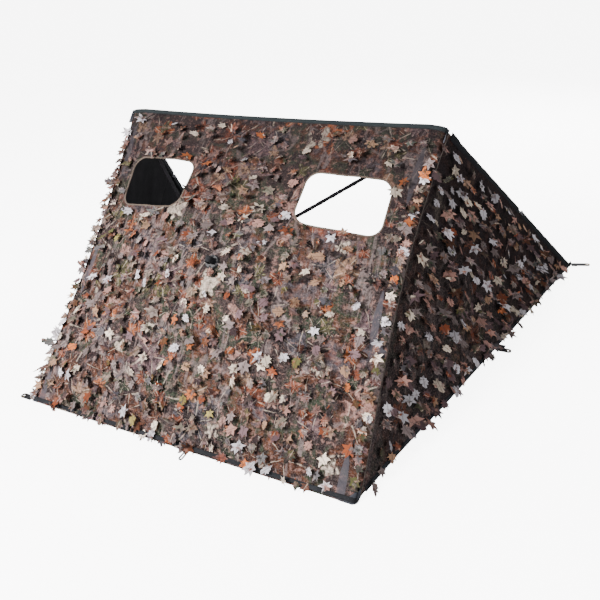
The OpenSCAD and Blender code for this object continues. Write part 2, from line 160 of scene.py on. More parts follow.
def panel_height(x, y):
    """Height of the front cloth over the plane of its corners."""
    t = np.clip(panel_share(x, y), 0, 1)
    dome = BULGE * np.maximum(t, 0.5 * t + 0.5 * smooth(t))
    sharp = 350
    z = -np.log(np.exp(-sharp * dome) + math.exp(-sharp * HUB_FLAT)) / sharp
    rise = np.where(y > HUB_Y, (SLOPE_L - y) / (SLOPE_L - HUB_Y), y / HUB_Y)
    over_arm = np.exp(-((rise + np.abs(x) / HALF_W - 1) / 0.09) ** 2)
    free = np.clip(4 * t * (1 - t), 0, 1) * (1 - over_arm)
    folds = 0.008 * ripples(x, y * 0.12, 3, 0.19) + 0.003 * ripples(x, y * 0.5, 4, 0.08)
    creases = sum(-0.007 * np.exp(-((x - at - 0.02 * np.sin(5 * y + 9 * at)) / 0.013) ** 2)
                  for at in (-0.47, -0.24, 0.0, 0.19, 0.41, 0.56))
    edge = np.clip((np.abs(x) - (HALF_W - SEAM_TURN)) / SEAM_TURN, 0, 1)
    return z + free * (folds + creases * smooth((HUB_Y + 0.25 - y) / 0.3)) * (t < 0.86) - SEAM_DEPTH * edge ** 8


def panel_point(x, y, lift=0.0):
    """A point of the front cloth, given where it was cut from the flat panel, in the row frame."""
    z = panel_height(x, y) + lift
    x_in = np.sign(x) * pull_in(y) * (np.abs(x) / HALF_W) ** 4
    y_in = RIDGE_SAG * (1 - (x / HALF_W) ** 2) * np.clip(y / SLOPE_L, 0, 1) ** 8
    corner = 0.010 * np.clip((np.abs(x) - HALF_W + SEAM_TURN) / SEAM_TURN, 0, 1) * np.clip(y / SLOPE_L, 0, 1) ** 30
    return slant(x - x_in, y - y_in - corner, z)


def wing_low(x):
    return GROUND_Y + GROUND_SLOPE * x


def wing_point(side, x, y, lift=0.0):
    """A point of a wing's cloth, in the row frame. At x = 0 it meets the front cloth's side seam."""
    height = np.maximum(SLOPE_L - wing_low(x), 0.02)
    up = np.clip((y - wing_low(x)) / height, 0, 1)
    free = np.clip(4 * up * (1 - up), 0, 1) * np.clip(x / 0.15, 0, 1) * np.clip((WING_L - x) / 0.2, 0, 1)
    wave = 0.004 * ripples(x, y, 11 + side, 0.24) + 0.002 * ripples(x * 0.6, y, 17 + side, 0.1)
    z = free * (wave - 0.012) + 0.001 + lift
    near = 1 - smooth(x / 0.42)
    place = wing_place(side, x, y, z)
    place[..., 0] -= side * pull_in(y) * near
    return place


# ---- building meshes ----

def new_mesh(name, verts, faces, materials, uvs=None):
    me = bpy.data.meshes.new(name)
    me.from_pydata([tuple(v) for v in verts], [], [tuple(int(i) for i in f) for f in faces])
    for m in materials:
        me.materials.append(m)
    for layer, coords in (uvs or {}).items():
        loops = np.empty(len(me.loops), np.int32)
        me.loops.foreach_get("vertex_index", loops)
        me.uv_layers.new(name=layer).data.foreach_set("uv", np.asarray(coords, np.float32)[loops].ravel())
    me.validate()
    obj = bpy.data.objects.new(name, me)
    bpy.context.collection.objects.link(obj)
    return obj


def shade(obj, smoothly=True):
    obj.data.polygons.foreach_set("use_smooth", [smoothly] * len(obj.data.polygons))


def face_outwards(mesh):
    bm = bmesh.new()
    bm.from_mesh(mesh)
    bmesh.ops.recalc_face_normals(bm, faces=bm.faces)
    bm.to_mesh(mesh)
    bm.free()


def grid_faces(rows, columns, wrap=False):
    across = columns if wrap else columns - 1
    i, j = np.meshgrid(np.arange(rows - 1), np.arange(across), indexing="ij")
    a, b = i * columns + j, i * columns + (j + 1) % columns
    return np.stack([a, b, b + columns, a + columns], -1).reshape(-1, 4)


def sheet_mesh(name, outside, inside, rows, columns, uv, materials):
    """A closed sheet from two grids of points: the outside takes the first material and the rest the second."""
    n = rows * columns
    faces = grid_faces(rows, columns)
    verts = np.concatenate([outside.reshape(-1, 3), inside.reshape(-1, 3)])
    around = ([(0, j) for j in range(columns)] + [(i, columns - 1) for i in range(1, rows)]
              + [(rows - 1, j) for j in range(columns - 2, -1, -1)] + [(i, 0) for i in range(rows - 2, 0, -1)])
    rim = [i * columns + j for i, j in around]
    sides = [(rim[k], rim[k] + n, rim[(k + 1) % len(rim)] + n, rim[(k + 1) % len(rim)]) for k in range(len(rim))]
    obj = new_mesh(name, verts, [*faces, *(faces[:, ::-1] + n), *sides], materials,
                   {"cloth": np.concatenate([uv.reshape(-1, 2)] * 2)})
    obj.data.polygons.foreach_set("material_index", [0] * len(faces) + [1] * (len(faces) + len(sides)))
    shade(obj)
    return obj


def tube_along(name, path, frames_y, frames_z, profile, materials, closed=False):
    """A closed strip: the profile's points (y, z) swept along the path, given the two directions, or one for all."""
    ys, zs = (np.broadcast_to(np.asarray(v, float), path.shape) for v in (frames_y, frames_z))
    m = len(profile)
    verts = np.concatenate([p + np.outer(profile[:, 0], y) + np.outer(profile[:, 1], z)
                            for p, y, z in zip(path, ys, zs)])
    rows = len(path)
    faces = list(grid_faces(rows, m, wrap=True))
    if closed:
        last = (rows - 1) * m
        faces += [(last + j, last + (j + 1) % m, (j + 1) % m, j) for j in range(m)]
    else:
        faces += [tuple(range(m - 1, -1, -1)), tuple(range((rows - 1) * m, rows * m))]
    uv = np.stack([np.repeat(lengths_along(path), m), np.tile(lengths_along(profile), rows)], -1)
    obj = new_mesh(name, verts, faces, materials, {"cloth": uv})
    face_outwards(obj.data)
    shade(obj)
    return obj


def flat_tape(width, thick, points=5):
    """The outline of a tape across its length: flat, with round edges."""
    r = thick / 2
    a = np.linspace(-math.pi / 2, math.pi / 2, points)
    right = np.stack([width / 2 - r + r * np.cos(a), r * np.sin(a)], -1)
    return np.concatenate([right, -right])


def tape_on(name, place, u, v, width, thick, lift, materials, closed=False):
    """A tape that follows the line (u, v) of a cloth surface, lifted off it."""
    p, step = place(u, v), 0.002
    along = np.roll(p, -1, 0) - np.roll(p, 1, 0) if closed else np.gradient(p, axis=0)
    normal = unit(np.cross(place(u + step, v) - place(u - step, v), place(u, v + step) - place(u, v - step)))
    across = unit(np.cross(normal, unit(along)))
    return tube_along(name, p + normal * lift, across, normal, flat_tape(width, thick), materials, closed)


# ---- the front panel's four faces, cut along the hub's arms ----

SECTORS = {"top": Vector((0, 1)), "bottom": Vector((0, -1)), "left": Vector((-1, 0)), "right": Vector((1, 0))}


def sector_of(x, y):
    up = (y - HUB_Y) / np.where(y > HUB_Y, SLOPE_L - HUB_Y, HUB_Y)
    over = x / HALF_W
    return np.where(np.abs(up) >= np.abs(over), np.where(up > 0, "top", "bottom"),
                    np.where(over > 0, "right", "left"))


def bend_with_hub(obj):
    """The piece stays where it is: its transform is baked into its mesh."""
    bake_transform(obj)


def cut_to_sector(obj, sector):
    """A copy of a piece of the front, cut along the two arms that bound the sector."""
    copy = obj.copy()
    copy.data = obj.data.copy()
    copy.name = copy.data.name = f"{obj.name}_{sector}"
    bpy.context.collection.objects.link(copy)
    bm = bmesh.new()
    bm.from_mesh(copy.data)
    out = SECTORS[sector]
    corners = {"top": ((-1, 1), (1, 1)), "bottom": ((1, -1), (-1, -1)),
               "left": ((-1, -1), (-1, 1)), "right": ((1, 1), (1, -1))}[sector]
    hub = Vector(slant(0, HUB_Y, 0))
    for cx, cy in corners:
        corner = Vector(slant(cx * HALF_W, SLOPE_L if cy > 0 else 0, 0))
        normal = (corner - hub).cross(OUT).normalized()
        inside = ACROSS * out.x + UP_SLOPE * out.y
        if normal.dot(inside) > 0:
            normal = -normal
        bmesh.ops.bisect_plane(bm, geom=[*bm.verts, *bm.edges, *bm.faces], dist=1e-6,
                               plane_co=hub, plane_no=normal, clear_outer=True)
        bmesh.ops.remove_doubles(bm, verts=bm.verts, dist=1e-6)
        bmesh.ops.holes_fill(bm, edges=[e for e in bm.edges if e.is_boundary], sides=0)
        bmesh.ops.edgeloop_fill(bm, edges=[e for e in bm.edges if e.is_boundary])
    bm.to_mesh(copy.data)
    bm.free()
    return copy


def split_front(obj):
    """Replaces a piece of the front with its cuts to the sectors that it reaches."""
    cuts = {}
    for sector in SECTORS:
        cut = cut_to_sector(obj, sector)
        if len(cut.data.polygons) > 3:
            cuts[sector] = cut
            bend_with_hub(cut)
        else:
            bpy.data.objects.remove(cut)
    bpy.data.objects.remove(obj)
    return cuts


# ---- node graphs ----

class Graph:
    """A short way to write a material's nodes."""

    def __init__(self, name):
        self.material = bpy.data.materials.new(name)
        self.material.use_nodes = True
        self.tree = self.material.node_tree
        self.tree.nodes.clear()
        out = self.tree.nodes.new("ShaderNodeOutputMaterial")
        self.shader = self.tree.nodes.new("ShaderNodeBsdfPrincipled")
        self.tree.links.new(self.shader.outputs[0], out.inputs[0])

    def put(self, socket, value):
        if isinstance(value, bpy.types.NodeSocket):
            self.tree.links.new(value, socket)
        elif value is not None:
            socket.default_value = value

    def node(self, kind, inputs=(), **settings):
        n = self.tree.nodes.new(kind)
        for key, value in settings.items():
            setattr(n, key, value)
        for key, value in dict(inputs).items():
            self.put(n.inputs[key], value)
        return n

    def math(self, operation, a, b=None, c=None):
        n = self.node("ShaderNodeMath", operation=operation)
        for socket, value in zip(n.inputs, (a, b, c)):
            self.put(socket, value)
        return n.outputs[0]

    def times(self, a, b):
        return self.math("MULTIPLY", a, b)

    def plus(self, a, b):
        return self.math("ADD", a, b)

    def minus(self, a, b):
        return self.math("SUBTRACT", a, b)

    def size_of(self, a):
        return self.math("ABSOLUTE", a)

    def sine(self, a):
        return self.math("SINE", a)

    def vector(self, operation, a, b=None):
        n = self.node("ShaderNodeVectorMath", operation=operation)
        for socket, value in zip(n.inputs, (a, b)):
            self.put(socket, value)
        return n.outputs["Value"] if operation in ("LENGTH", "DOT_PRODUCT") else n.outputs["Vector"]

    def uv(self, name):
        return self.node("ShaderNodeUVMap", uv_map=name).outputs[0]

    def scaled(self, vector, scale):
        return self.vector("MULTIPLY", vector, scale)

    def moved(self, vector, by):
        return self.vector("ADD", vector, by)

    def xyz(self, vector):
        return self.node("ShaderNodeSeparateXYZ", {0: vector}).outputs

    def noise(self, vector, scale, detail=3.0, rough=0.55):
        return self.node("ShaderNodeTexNoise", {"Vector": vector, "Scale": scale, "Detail": detail,
                                                "Roughness": rough}).outputs[0]

    def ramp(self, factor, stops, constant=False):
        n = self.node("ShaderNodeValToRGB", {0: factor})
        n.color_ramp.interpolation = "CONSTANT" if constant else "LINEAR"
        while len(n.color_ramp.elements) < len(stops):
            n.color_ramp.elements.new(0.5)
        for element, (at, colour) in zip(n.color_ramp.elements, stops):
            element.position = at
            element.color = (*colour, 1) if isinstance(colour, tuple) else (colour, colour, colour, 1)
        return n.outputs[0]

    def mix(self, factor, a, b, blend="MIX"):
        n = self.node("ShaderNodeMix", data_type="RGBA", blend_type=blend, clamp_result=True)
        for key, value in ((0, factor), (6, a), (7, b)):
            self.put(n.inputs[key], (*value, 1) if isinstance(value, tuple) and len(value) == 3 else value)
        return n.outputs[2]

    def step(self, value, low, high):
        """0 below low and 1 above high, smooth between; the other way round if low is above high."""
        n = self.node("ShaderNodeMapRange", {0: value, 1: low, 2: high}, interpolation_type="SMOOTHSTEP")
        return n.outputs[0]

    def finish(self, colour, roughness, height=None, bump=0.3, distance=0.001, **shader):
        self.put(self.shader.inputs["Base Color"], colour)
        self.put(self.shader.inputs["Roughness"], roughness)
        for key, value in shader.items():
            self.shader.inputs[key.replace("_", " ")].default_value = value
        if height is not None:
            n = self.node("ShaderNodeBump", {"Height": height, "Strength": bump, "Distance": distance})
            self.tree.links.new(n.outputs[0], self.shader.inputs["Normal"])
        return self.material


def srgb(r, g, b):
    """A colour given as 0 to 255 on screen, in linear light."""
    return tuple((c / 255 / 12.92) if c < 11 else ((c / 255 + 0.055) / 1.055) ** 2.4 for c in (r, g, b))


# ---- colours of the leaf litter ----

LITTER = {
    "shadow": srgb(22, 15, 17), "bark": srgb(58, 46, 44), "slate": srgb(76, 74, 80), "mauve": srgb(108, 86, 90),
    "grey": srgb(128, 114, 112), "umber": srgb(88, 52, 34), "rust": srgb(132, 68, 42), "orange": srgb(180, 100, 56),
    "tan": srgb(166, 130, 104), "pink": srgb(180, 136, 124), "cream": srgb(230, 212, 192),
    "pale": srgb(214, 208, 214), "olive": srgb(86, 86, 50), "green": srgb(44, 58, 42), "yellow": srgb(146, 132, 74),
}
PRINT_LEAVES = ("bark umber rust shadow olive mauve orange tan green rust slate pink umber grey green "
                "cream").split()
FRONT_LEAVES = {"pale": 16, "cream": 20, "grey": 14, "mauve": 10, "pink": 14, "tan": 10, "rust": 8, "orange": 6,
                "slate": 5, "yellow": 2, "olive": 3}
WING_LEAVES = {"pale": 24, "grey": 22, "mauve": 16, "pink": 18, "cream": 9, "tan": 5, "umber": 4, "rust": 2}


def leaf_litter(g, uv, scale, seed, share):
    """One layer of printed leaves: their colour, and a mask that is 1 on them."""
    place = g.moved(uv, (seed * 7.3, seed * 3.1, 0))
    bent = g.moved(place, g.scaled(g.node("ShaderNodeTexNoise", {"Vector": place, "Scale": 14.0,
                    "Detail": 2.0}).outputs[1], (0.022, 0.022, 0)))
    cells = g.node("ShaderNodeTexVoronoi", {"Vector": bent, "Scale": scale, "Randomness": 0.9},
                   voronoi_dimensions="2D")
    local = g.scaled(g.vector("SUBTRACT", bent, cells.outputs["Position"]), (scale, scale, 0))
    lx, ly, _ = g.xyz(local)
    pick = g.xyz(cells.outputs["Color"])
    turn = g.times(pick[0], math.tau)
    angle = g.plus(g.math("ARCTAN2", ly, lx), turn)
    lobes = g.math("COSINE", g.times(angle, 5.0))
    length = g.math("COSINE", angle)
    reach = g.plus(g.math("MULTIPLY_ADD", lobes, 0.11, 0.36), g.times(length, 0.13))
    inside = g.minus(reach, g.vector("LENGTH", local))
    mask = g.times(g.step(inside, 0.0, 0.03), g.math("LESS_THAN", pick[1], share))
    stops = [(i / len(PRINT_LEAVES), LITTER[c]) for i, c in enumerate(PRINT_LEAVES)]
    colour = g.ramp(pick[2], stops, constant=True)
    wear = g.noise(g.moved(uv, (seed, 2 * seed, 0)), 46.0, 4.0, 0.65)
    colour = g.mix(1.0, colour, g.ramp(wear, [(0.36, 0.16), (0.48, 0.62), (0.58, 1.0)]), "MULTIPLY")
    vein = g.size_of(g.sine(g.times(angle, 2.5)))
    colour = g.mix(g.times(g.step(vein, 0.16, 0.02), 0.5), colour, LITTER["cream"])
    shadow = g.step(inside, 0.10, 0.0)
    return g.mix(g.times(shadow, 0.7), colour, LITTER["shadow"]), mask


def weave(g, uv, threads):
    """The height of a plain weave with that many threads to the metre."""
    x, y, _ = g.xyz(g.scaled(uv, (threads * math.pi,) * 2 + (0,)))
    return g.times(g.sine(x), g.sine(y))


def litter_print(g, uv, painted_shade):
    """The colour of cloth printed with leaf litter, trunks and twigs; the last argument is the share of painted
    shade, which darkens the print and thins its printed leaves, for cloth that lies in shadow.
    """
    zones = g.noise(uv, 3.4, 5.0, 0.6)
    colour = g.ramp(zones, [(0.34, LITTER["shadow"]), (0.43, LITTER["bark"]), (0.49, LITTER["green"]),
                            (0.54, LITTER["umber"]), (0.60, LITTER["slate"]), (0.68, LITTER["rust"])])
    trunks = g.noise(g.scaled(uv, (1, 0.09, 1)), 11.0, 5.0, 0.65)
    colour = g.mix(g.times(g.step(trunks, 0.54, 0.60), 0.8), colour, LITTER["grey"])
    colour = g.mix(g.step(trunks, 0.43, 0.37), colour, LITTER["shadow"])
    # painted shade thins the printed leaves
    for scale, seed, share in ((4.4, 1, 0.7), (7.5, 2, 0.6), (13.0, 3, 0.5)):
        leaves, mask = leaf_litter(g, uv, scale, seed, share * (1 - 0.4 * painted_shade))
        colour = g.mix(mask, colour, leaves)
    gaps = g.noise(g.moved(g.scaled(uv, (1.6, 0.8, 1)), (2, 7, 0)), 13.0, 3.0, 0.6)
    colour = g.mix(g.step(gaps, 0.42, 0.35), colour, LITTER["shadow"])
    # painted shadow: dark slits that stand for the shadows that the hanging cut leaves cast on the cloth
    slit_shadows = g.noise(g.moved(g.scaled(uv, (1, 0.3, 1)), (8, 2, 0)), 30.0, 2.0)
    colour = g.mix(g.step(slit_shadows, 0.63, 0.68), colour, srgb(8, 5, 7))
    twigs = g.noise(g.moved(g.scaled(uv, (1, 0.4, 1)), (4, 9, 0)), 4.5, 2.0)
    thin = g.step(g.size_of(g.minus(twigs, 0.5)), 0.009, 0.003)
    colour = g.mix(g.times(thin, 0.55), colour, LITTER["grey"])
    scraps = g.noise(g.moved(uv, (1, 3, 0)), 42.0, 4.0, 0.7)
    colour = g.mix(g.times(g.step(scraps, 0.53, 0.64), 0.5), colour, LITTER["pink"])
    colour = g.mix(g.times(g.step(scraps, 0.47, 0.37), 0.8), colour, LITTER["shadow"])
    grit = g.noise(g.moved(uv, (6, 1, 0)), 105.0, 3.0, 0.7)
    colour = g.mix(0.75, colour, g.ramp(grit, [(0.38, 0.25), (0.50, 0.85), (0.60, 1.0)]), "MULTIPLY")
    # painted shade: the print is darkened towards near black by the share of shade given
    return g.mix(0.78 * painted_shade, colour, srgb(9, 5, 8))


def camo_print(name, painted_shade):
    g = Graph(name)
    uv = g.uv("cloth")
    grain = g.noise(uv, 160.0, 3.0, 0.7)
    colour = g.mix(g.times(g.step(grain, 0.42, 0.66), 0.25), litter_print(g, uv, painted_shade), LITTER["grey"])
    across, up, _ = g.xyz(uv)
    swell = g.times(g.sine(g.math("MULTIPLY_ADD", up, 11.0, 1.0)), 0.017)
    bare = g.minus(swell, g.size_of(g.minus(g.size_of(across), BAND_X)))
    colour = g.mix(g.times(g.step(bare, 0.0, 0.003), 0.7), colour, LITTER["slate"])
    # painted shade: the cloth is darkened towards the ridge, at the top of the slope
    high = g.step(up, 0.7, 1.25)
    colour = g.mix(g.times(high, 0.6), colour, LITTER["shadow"])
    height = g.plus(g.times(weave(g, uv, 900), 0.3), grain)
    return g.finish(colour, 0.85, height, 0.25, 0.0006, Specular_IOR_Level=0.12)


def leaf_cloth(name):
    """The face of a cut leaf: a scrap of the print under its own tint, with a midrib and side veins."""
    g = Graph(name)
    own = g.node("ShaderNodeAttribute", attribute_name="tint").outputs
    x, y, _ = g.xyz(g.uv("leaf"))
    far = g.size_of(x)
    midrib = g.step(far, 0.035, 0.012)
    slanted = g.times(g.minus(y, g.times(far, 0.9)), 4.5)
    side_veins = g.step(g.size_of(g.minus(g.math("FRACT", slanted), 0.5)), 0.07, 0.02)
    uv = g.uv("cloth")
    scrap = litter_print(g, uv, 0.0)
    mottle = g.noise(uv, 34.0, 4.0, 0.65)
    colour = g.mix(g.times(g.step(mottle, 0.38, 0.52), own["Alpha"]), scrap, own["Color"])
    veins = g.math("MAXIMUM", midrib, g.times(side_veins, 0.5))
    colour = g.mix(g.times(veins, 0.5), colour, LITTER["bark"])
    height = g.plus(g.times(weave(g, uv, 900), 0.3), g.times(veins, -1.5))
    return g.finish(colour, 0.8, height, 0.3, 0.0006, Specular_IOR_Level=0.15)


def plain_cloth(name, colour, lighter):
    g = Graph(name)
    uv = g.uv("cloth")
    cloudy = g.noise(uv, 9.0, 4.0)
    tone = g.mix(g.step(cloudy, 0.35, 0.7), colour, lighter)
    height = g.plus(weave(g, uv, 700), g.times(g.noise(uv, 90.0), 0.8))
    return g.finish(tone, 0.85, height, 0.3, 0.0006, Specular_IOR_Level=0.12)


def object_place(g):
    return g.node("ShaderNodeTexCoord").outputs["Object"]


def webbing(name, colour, lighter, own_uv=True):
    """Woven tape: ribs across it and cloudy lighter patches; tapes with their own map use it, the rest the object's
    place.
    """
    g = Graph(name)
    where = g.uv("cloth") if own_uv else object_place(g)
    x, y, z = g.xyz(where)
    ribs = g.sine(g.times(g.plus(x, z), math.tau * 420))
    cross = g.sine(g.times(y, math.tau * 700))
    height = g.times(ribs, cross)
    # painted highlight: the raised ribs take the lighter colour, a sheen painted on the tape; the cloudy patches
    # below are a random lighter tone
    tone = g.mix(g.step(height, -0.4, 0.8), colour, lighter)
    tone = g.mix(g.times(g.step(g.noise(where, 14.0, 4.0), 0.45, 0.7), 0.4), tone, lighter)
    return g.finish(tone, 0.75, height, 0.5, 0.0008, Specular_IOR_Level=0.2)


def rod_material(name):
    g = Graph(name)
    where = object_place(g)
    fibres = g.noise(g.scaled(where, (30, 30, 30)), 12.0, 4.0, 0.7)
    tone = g.mix(g.step(fibres, 0.35, 0.7), srgb(20, 23, 26), srgb(42, 47, 52))
    rough = g.ramp(fibres, [(0.3, 0.4), (0.7, 0.6)])
    return g.finish(tone, rough, fibres, 0.12, 0.0004)


def moulded_plastic(name, colour, lighter):
    g = Graph(name)
    where = object_place(g)
    grain = g.noise(where, 900.0, 2.0)
    worn = g.noise(where, 22.0, 5.0, 0.6)
    tone = g.mix(g.step(worn, 0.5, 0.75), colour, lighter)
    return g.finish(tone, g.ramp(worn, [(0.3, 0.42), (0.8, 0.62)]), grain, 0.25, 0.0003)


def plain_metal(name, colour, rough):
    g = Graph(name)
    where = object_place(g)
    brushed = g.noise(g.scaled(where, (1, 1, 9)), 120.0, 4.0, 0.7)
    spots = g.noise(where, 60.0, 4.0)
    tone = g.mix(g.times(g.step(spots, 0.55, 0.75), 0.5), colour, srgb(70, 66, 62))
    return g.finish(tone, g.ramp(brushed, [(0.3, rough), (0.7, rough + 0.2)]), brushed, 0.15, 0.0003, Metallic=1.0)


# ---- leaves ----

LEAF_SHAPES = [   # half outlines from the tip to the stem: degrees from the tip, share of the length
    [(0, 1.0), (12, 0.74), (26, 0.52), (42, 0.94), (58, 0.66), (73, 0.48), (97, 0.80), (114, 0.54), (140, 0.36)],
    [(0, 1.0), (17, 0.78), (28, 0.50), (42, 0.80), (60, 0.46), (80, 0.70), (104, 0.40), (126, 0.56), (152, 0.32)],
    [(0, 0.95), (16, 0.62), (34, 0.46), (58, 0.98), (72, 0.68), (95, 0.44), (122, 0.80), (142, 0.52), (160, 0.34)],
    [(0, 1.0), (20, 0.84), (30, 0.56), (48, 0.72), (66, 0.52), (84, 0.64), (108, 0.46), (130, 0.54), (155, 0.34)],
]
STEM = (176, 0.62)


def leaf_outline(shape, rng):
    """The outline of one leaf, tip towards +y, with its two halves slightly different."""
    def half(sign):
        pts = [*LEAF_SHAPES[shape], STEM]
        angles = np.radians([a for a, _ in pts]) + rng.normal(0, 0.035, len(pts))
        radii = np.array([r for _, r in pts]) * rng.uniform(0.86, 1.1, len(pts))
        return np.stack([sign * np.sin(angles) * radii, np.cos(angles) * radii], -1)
    return np.concatenate([half(1), half(-1)[:0:-1]]) * 0.5


def leaves(name, spots, place, colours, seed, tilt=(0.25, 1.0), shade_dimmer=lambda v: 1.0,
           roll=0.0, size=1.0, plain_share=0.42):
    """Cut leaves sewn to a cloth surface by their middles. spots holds (u, v, turn) of each leaf."""
    rng = np.random.default_rng(seed)
    names = list(colours)
    plain = rng.random(len(spots)) < plain_share
    odds = np.array([colours[c] for c in names], float)
    verts, faces, back, tints, uv_cloth, uv_leaf = [], [], [], [], [], []
    u, v, turn = (np.array(a, float) for a in zip(*spots))
    step = 0.004
    p = place(u, v)
    across = unit(place(u + step, v) - p)
    normal = unit(np.cross(across, place(u, v + step) - p))
    up = np.cross(normal, across)
    for k in range(len(u)):
        outline = leaf_outline(rng.integers(len(LEAF_SHAPES)), rng)
        length = LEAF_L * size * rng.uniform(0.78, 1.18)
        flap, twist = rng.uniform(*tilt), rng.normal(roll, 0.3)
        c, s = math.cos(turn[k]), math.sin(turn[k])
        x, y = outline[:, 0] * length * rng.uniform(0.85, 1.1), outline[:, 1] * length
        curl = rng.uniform(-0.9, 1.3)
        r2 = (outline ** 2).sum(1) * 4
        foot = 0.006 + abs(math.sin(roll)) * 0.3 * length
        z = foot + (y + 0.4 * length) * math.tan(flap) * 0.55 + x * math.sin(twist)
        z = z + 0.16 * length * curl * r2 * rng.uniform(0.5, 1.4, len(x)) * 0.5
        z = np.maximum(z, 0.0022)
        n = len(x)
        middle = foot + 0.4 * length * math.tan(flap) * 0.55 + rng.uniform(-0.002, 0.003)
        x, y, z = np.r_[x, 0, 0], np.r_[y, 0, 0], np.r_[z, middle + 0.0007, middle - 0.0007]
        world = (p[k] + np.outer(x * c - y * s, across[k]) + np.outer(x * s + y * c, up[k]) + np.outer(z, normal[k]))
        world[:, 2] = np.maximum(world[:, 2], LEAF_GROUND)
        at = len(verts) * (n + 2)
        verts.append(world)
        ring = np.arange(n)
        after = (ring + 1) % n
        faces.append(at + np.concatenate([np.stack([ring, np.full(n, n), after], -1),
                                          np.stack([after, np.full(n, n + 1), ring], -1)]))
        back.append([0] * n + [1] * n)
        colour = LITTER[names[rng.choice(len(names), p=odds / odds.sum())]]
        # the tint takes a random tone, and painted shade from the function given for the leaf's place up the cloth
        tint = np.array(colour) * rng.uniform(0.6, 1.25) * shade_dimmer(v[k])
        tints.append(np.tile(np.r_[np.clip(tint, 0, 1), 1.0 if plain[k] else 0.15], (n + 2, 1)))
        local = np.stack([x, y], -1)
        uv_cloth.append(local + rng.uniform(0, 3, 2))
        uv_leaf.append(local / length)
    obj = new_mesh(name, np.concatenate(verts), np.concatenate(faces), [LEAF, LEAF_BACK],
                   {"cloth": np.concatenate(uv_cloth), "leaf": np.concatenate(uv_leaf)})
    layer = obj.data.color_attributes.new("tint", "FLOAT_COLOR", "POINT")
    layer.data.foreach_set("color", np.concatenate(tints).astype(np.float32).ravel())
    obj.data.polygons.foreach_set("material_index", np.concatenate(back))
    shade(obj, False)
    return obj


# ---- materials ----

# the front's print carries a little painted shade; the wings' shaded copy carries full painted shade, for the shade
# that the wings stand in
CAMO = camo_print("camo_print", 0.15)
CAMO_SHADED = camo_print("camo_print_shaded", 1.0)
LEAF = leaf_cloth("cut_leaf")
LEAF_BACK = plain_cloth("leaf_back", srgb(40, 36, 36), srgb(70, 64, 60))
BLACK_CLOTH = plain_cloth("black_lining", srgb(7, 6, 9), srgb(17, 15, 19))
BINDING = webbing("binding_tape", srgb(22, 27, 29), srgb(46, 54, 56))
HEM = webbing("hem_tape", srgb(20, 21, 24), srgb(46, 48, 52))
SLEEVE = webbing("sleeve_tape", srgb(14, 14, 17), srgb(36, 37, 42))
WINDOW_TAPE = webbing("window_tape", srgb(70, 60, 54), srgb(120, 106, 94))
PIPING = webbing("seam_piping", srgb(62, 55, 52), srgb(104, 94, 88))
PATCH = plain_cloth("slate_patch", srgb(58, 60, 66), srgb(82, 84, 92))


def cad_materials():
    """Gives each CAD piece that stays in view its finished material."""
    slots = {s["node"]: s["material_slot"] for s in frame["record"]["subparts"]}
    made = {
        "black_webbing": webbing("webbing", srgb(18, 18, 20), srgb(48, 49, 52), own_uv=False),
        "fibreglass": rod_material("fibreglass_rod"),
        "black_plastic": moulded_plastic("black_nylon", srgb(22, 22, 24), srgb(46, 46, 48)),
        "grey_metal": plain_metal("cast_end", srgb(150, 152, 154), 0.38),
        "bright_steel": plain_metal("plated_steel", srgb(190, 190, 192), 0.22),
        "grommet_metal": plain_metal("blackened_brass", srgb(96, 86, 70), 0.35),
    }
    blackened = plain_metal("black_oxide", srgb(40, 40, 42), 0.45)
    for node, obj in frame["nodes"].items():
        material = blackened if node == "hub_screws" else made.get(slots[node])
        if material:
            for slot in obj.material_slots:
                slot.material = material


# ---- pieces of the front ----

def rounded_window(grow, n=96):
    """The outline of the right window in the panel's flat, grown by a margin."""
    cx, cy, w, h, r = WINDOW
    w, h, r = w / 2 + grow, h / 2 + grow, r + grow
    a = np.linspace(0, math.tau, n, endpoint=False)
    corner = np.stack([np.sign(np.cos(a)) * (w - r), np.sign(np.sin(a)) * (h - r)], -1)
    pts = np.stack([r * np.cos(a), r * np.sin(a)], -1) + corner
    closed = np.concatenate([pts, pts[:1]])
    steps = lengths_along(closed)
    even = np.linspace(0, steps[-1], n, endpoint=False)
    return np.stack([np.interp(even, steps, closed[:, k]) for k in (0, 1)], -1) + (cx, cy)


def in_window(x, y, grow):
    cx, cy, w, h, _ = WINDOW
    return (np.abs(np.abs(x) - cx) < w / 2 + grow) & (np.abs(y - cy) < h / 2 + grow)


def front_cloth():
    rows, columns = 150, 170
    y = np.linspace(0.004, SLOPE_L - 0.004, rows)
    x = HALF_W * np.sin(np.linspace(-1, 1, columns) * math.pi / 2 * 0.82) / math.sin(math.pi / 2 * 0.82)
    x, y = np.meshgrid(x, y)
    outside = raised(panel_point(x, y), 0.0024)
    inside = raised(panel_point(x, y, -CLOTH_T), 0.0008)
    cloth = sheet_mesh("front_cloth", outside, inside, rows, columns, np.stack([x, y], -1), [CAMO, BLACK_CLOTH])
    for side in (-1, 1):
        ring = rounded_window(0)
        n = len(ring)
        edge = panel_point(side * ring[:, 0], ring[:, 1])
        low, high = edge - 0.08 * np.array(OUT), edge + 0.08 * np.array(OUT)
        i = np.arange(n)
        walls = np.stack([i, (i + 1) % n, (i + 1) % n + n, i + n], -1)
        cutter = new_mesh("cutter", np.concatenate([low, high]), [*walls, tuple(range(n)), tuple(range(n, 2 * n))],
                          [BLACK_CLOTH])
        face_outwards(cutter.data)
        cut = cloth.modifiers.new("window", "BOOLEAN")
        cut.object, cut.operation, cut.solver = cutter, "DIFFERENCE", "EXACT"
        bpy.context.view_layer.update()
        depsgraph = bpy.context.evaluated_depsgraph_get()
        final = bpy.data.meshes.new_from_object(cloth.evaluated_get(depsgraph))
        cloth.modifiers.clear()
        cloth.data = final
        bpy.data.objects.remove(cutter)
    return split_front(cloth)


